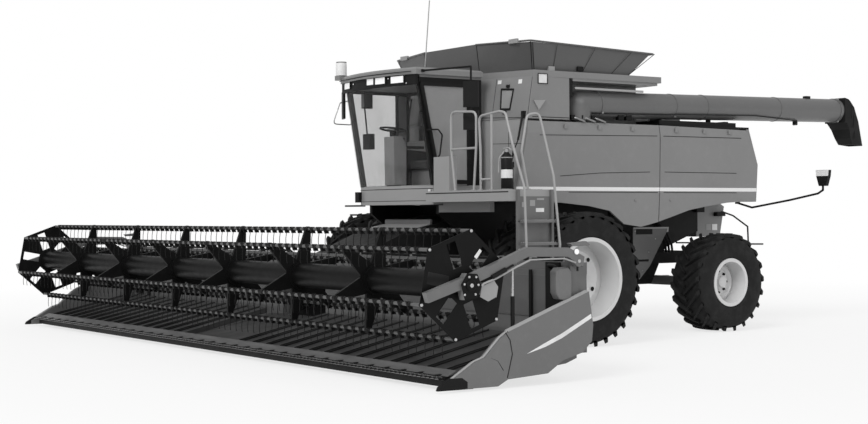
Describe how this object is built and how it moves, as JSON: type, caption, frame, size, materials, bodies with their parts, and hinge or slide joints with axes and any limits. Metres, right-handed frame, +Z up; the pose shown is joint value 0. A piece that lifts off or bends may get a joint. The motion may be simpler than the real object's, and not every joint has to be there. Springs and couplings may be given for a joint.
{
  "type": "combine harvester",
  "caption": "Self-propelled combine harvester: wide draper header with tined reel, cab, open grain tank, swinging unloading auger, dual front wheels and steered rear wheels.",
  "frame": {"origin": "on the ground under the middle of the machine's bounding box", "axes": "+Z up, -Y the driving direction, +X the machine's left side"},
  "size_m": [11.31, 12.1887, 4.9846],
  "materials": {
    "body_paint": "semi-gloss",
    "dark_tank_paint": "satin",
    "light_paint": "semi-gloss",
    "frame_paint": "satin",
    "shield_paint": "semi-gloss",
    "wheel_paint": "semi-gloss",
    "tyre": "matte",
    "black_paint": "satin",
    "cab_glass": "clear",
    "seat_fabric": "woven",
    "belt": "matte ribbed",
    "rubber": "matte",
    "steel": "worn"
  },
  "bodies": {
    "machine": {"main_frame": "frame_paint", "front_axle": "frame_paint", "rear_axle": "frame_paint", "separator_body": "body_paint", "grain_tank": "body_paint", "tank_extension": "dark_tank_paint", "upper_frame": "body_paint", "engine_deck": "body_paint", "rear_hood": "body_paint", "engine_block": "steel", "cooling_box": "body_paint", "straw_chopper": "body_paint", "auger_base": "frame_paint", "cab_floor": "light_paint", "cab_frame": "black_paint", "cab_windows": "cab_glass", "cab_roof": "body_paint", "light_bar": "black_paint", "side_panels": "light_paint", "deck_fittings": "light_paint", "seat_cushions": "seat_fabric", "steering_column": "black_paint", "antenna": "black_paint", "mirrors": "black_paint", "platform": "light_paint", "ladder": "light_paint", "handrails": "light_paint", "tail_lamp_arms": "black_paint"},
    "front_wheels_left": {"front_tyres_left": "tyre", "front_rims_left": "wheel_paint"},
    "front_wheels_right": {"front_tyres_right": "tyre", "front_rims_right": "wheel_paint"},
    "knuckle_left": {"knuckle_left": "frame_paint"},
    "knuckle_right": {"knuckle_right": "frame_paint"},
    "rear_wheel_left": {"rear_tyre_left": "tyre", "rear_rim_left": "wheel_paint"},
    "rear_wheel_right": {"rear_tyre_right": "tyre", "rear_rim_right": "wheel_paint"},
    "shield_front_left": {"side_shield_front_left": "body_paint"},
    "shield_front_right": {"side_shield_front_right": "body_paint"},
    "shield_rear_left": {"side_shield_rear_left": "body_paint"},
    "shield_rear_right": {"side_shield_rear_right": "body_paint"},
    "cab_door": {"cab_door_frame": "black_paint", "cab_door_glass": "cab_glass"},
    "unloading_auger": {"auger_tube": "body_paint", "auger_spout": "rubber"},
    "header": {"feeder_house": "frame_paint", "header_back": "frame_paint", "header_legs": "frame_paint", "draper_belts": "belt", "cutterbar": "steel", "end_shield_left": "shield_paint", "end_shield_right": "shield_paint"},
    "lift_barrels": {"lift_barrels": "steel"},
    "lift_rods": {"lift_rods": "steel"},
    "reel_arms": {"reel_arms": "shield_paint"},
    "reel_barrels": {"reel_barrels": "steel"},
    "reel_rods": {"reel_rods": "steel"},
    "reel": {"reel_rotor": "black_paint", "reel_bats": "black_paint"}
  },
  "joints": [
    {"name": "front_wheels_left_spin", "type": "hinge", "parent": "machine", "child": "front_wheels_left", "pos_m": [1.4, -1.191, 0.90967], "axis": [1, 0, 0], "continuous": true},
    {"name": "front_wheels_right_spin", "type": "hinge", "parent": "machine", "child": "front_wheels_right", "pos_m": [-1.4, -1.191, 0.90967], "axis": [1, 0, 0], "continuous": true},
    {"name": "steer_left", "type": "hinge", "parent": "machine", "child": "knuckle_left", "pos_m": [1.18, 2.284, 0.74148], "axis": [0, 0, 1], "range_deg": [-35, 35]},
    {"name": "steer_right", "type": "hinge", "parent": "machine", "child": "knuckle_right", "pos_m": [-1.18, 2.284, 0.74148], "axis": [0, 0, 1], "range_deg": [-35, 35]},
    {"name": "rear_wheel_left_spin", "type": "hinge", "parent": "knuckle_left", "child": "rear_wheel_left", "pos_m": [1.4, 2.284, 0.74148], "axis": [1, 0, 0], "continuous": true},
    {"name": "rear_wheel_right_spin", "type": "hinge", "parent": "knuckle_right", "child": "rear_wheel_right", "pos_m": [-1.4, 2.284, 0.74148], "axis": [1, 0, 0], "continuous": true},
    {"name": "shield_front_left_lift", "type": "hinge", "parent": "machine", "child": "shield_front_left", "pos_m": [1.5775, -1.191, 3.096], "axis": [0, -1, 0], "range_deg": [0, 80]},
    {"name": "shield_rear_left_lift", "type": "hinge", "parent": "machine", "child": "shield_rear_left", "pos_m": [1.5775, 1.809, 3.096], "axis": [0, -1, 0], "range_deg": [0, 80]},
    {"name": "shield_front_right_lift", "type": "hinge", "parent": "machine", "child": "shield_front_right", "pos_m": [-1.5775, -1.191, 3.096], "axis": [0, 1, 0], "range_deg": [0, 80]},
    {"name": "shield_rear_right_lift", "type": "hinge", "parent": "machine", "child": "shield_rear_right", "pos_m": [-1.5775, 1.809, 3.096], "axis": [0, 1, 0], "range_deg": [0, 80]},
    {"name": "cab_door_swing", "type": "hinge", "parent": "machine", "child": "cab_door", "pos_m": [0.957, -1.841, 2.9], "axis": [0, 0, 1], "range_deg": [0, 85]},
    {"name": "auger_swing", "type": "hinge", "parent": "machine", "child": "unloading_auger", "pos_m": [1.39, -0.231, 3.2], "axis": [0, 0, -1], "range_deg": [0, 100]},
    {"name": "header_lift", "type": "hinge", "parent": "machine", "child": "header", "pos_m": [0, -1.591, 1.7], "axis": [-1, 0, 0], "range_deg": [0, 15]},
    {"name": "lift_barrel_swing", "type": "hinge", "parent": "machine", "child": "lift_barrels", "pos_m": [0, -1.291, 0.62], "axis": [-1, 0, 0], "range_deg": [0, 12.4]},
    {"name": "lift_rod_slide", "type": "slide", "parent": "lift_barrels", "child": "lift_rods", "axis": [0, -0.9974, -0.0725], "range_m": [0, 0.2822]},
    {"name": "reel_lift", "type": "hinge", "parent": "header", "child": "reel_arms", "pos_m": [0, -4.071, 1.29], "axis": [-1, 0, 0], "range_deg": [0, 22]},
    {"name": "reel_barrel_swing", "type": "hinge", "parent": "header", "child": "reel_barrels", "pos_m": [0, -4.891, 0.5], "axis": [-1, 0, 0], "range_deg": [0, 2.97]},
    {"name": "reel_rod_slide", "type": "slide", "parent": "reel_barrels", "child": "reel_rods", "axis": [0, 0, 1], "range_m": [0, 0.3129]},
    {"name": "reel_spin", "type": "hinge", "parent": "reel_arms", "child": "reel", "pos_m": [0, -5.545, 1.076], "axis": [1, 0, 0], "continuous": true}
  ],
  "couplings": [
    {"joint": "steer_right", "follows": "steer_left", "ratio": 1},
    {"joint": "lift_barrel_swing", "follows": "header_lift", "ratio": 0.81302},
    {"joint": "lift_rod_slide", "follows": "header_lift", "m_per_rad": 1.0665},
    {"joint": "reel_barrel_swing", "follows": "reel_lift", "ratio": 0.12598},
    {"joint": "reel_rod_slide", "follows": "reel_lift", "m_per_rad": 0.80708}
  ]
}
